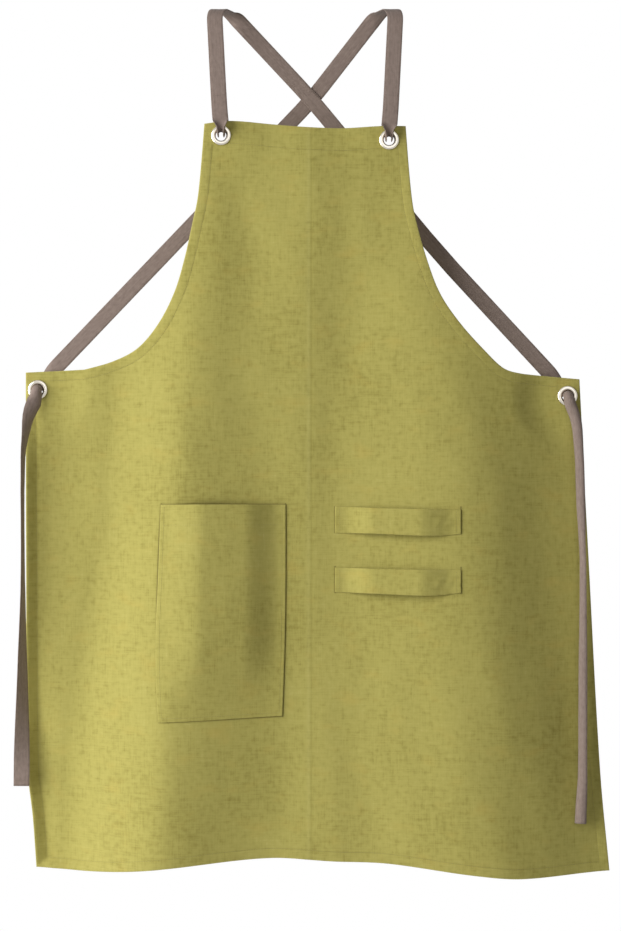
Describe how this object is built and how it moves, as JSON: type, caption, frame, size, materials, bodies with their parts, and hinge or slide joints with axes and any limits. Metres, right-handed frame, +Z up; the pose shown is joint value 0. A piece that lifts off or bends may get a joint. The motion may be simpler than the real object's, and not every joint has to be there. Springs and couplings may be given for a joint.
{
  "type": "cross back apron",
  "caption": "Cross back work apron: linen bib and skirt with a patch pocket and two wide loops, hung by flat straps that cross behind and tie through eyelets",
  "frame": {"origin": "midway between the two strap tops, level with their undersides, where the apron hangs from the shoulders", "axes": "+X to the right seen from the front, +Y to the back, +Z up"},
  "size_m": [0.7141, 0.1107, 1.0424],
  "materials": {
    "linen": "olive linen, plain weave, matt",
    "tape": "taupe twill tape, matt",
    "nickel": "bright nickel, polished"
  },
  "bodies": {
    "root": {"apron_cloth": "linen", "pocket": "linen", "towel_loop_upper": "linen", "towel_loop_lower": "linen", "eyelet_bib_left": "nickel", "washer_bib_left": "nickel", "eyelet_bib_right": "nickel", "washer_bib_right": "nickel", "eyelet_wing_left": "nickel", "washer_wing_left": "nickel", "eyelet_wing_right": "nickel", "washer_wing_right": "nickel", "strap_left": "tape", "strap_right": "tape"}
  },
  "joints": []
}
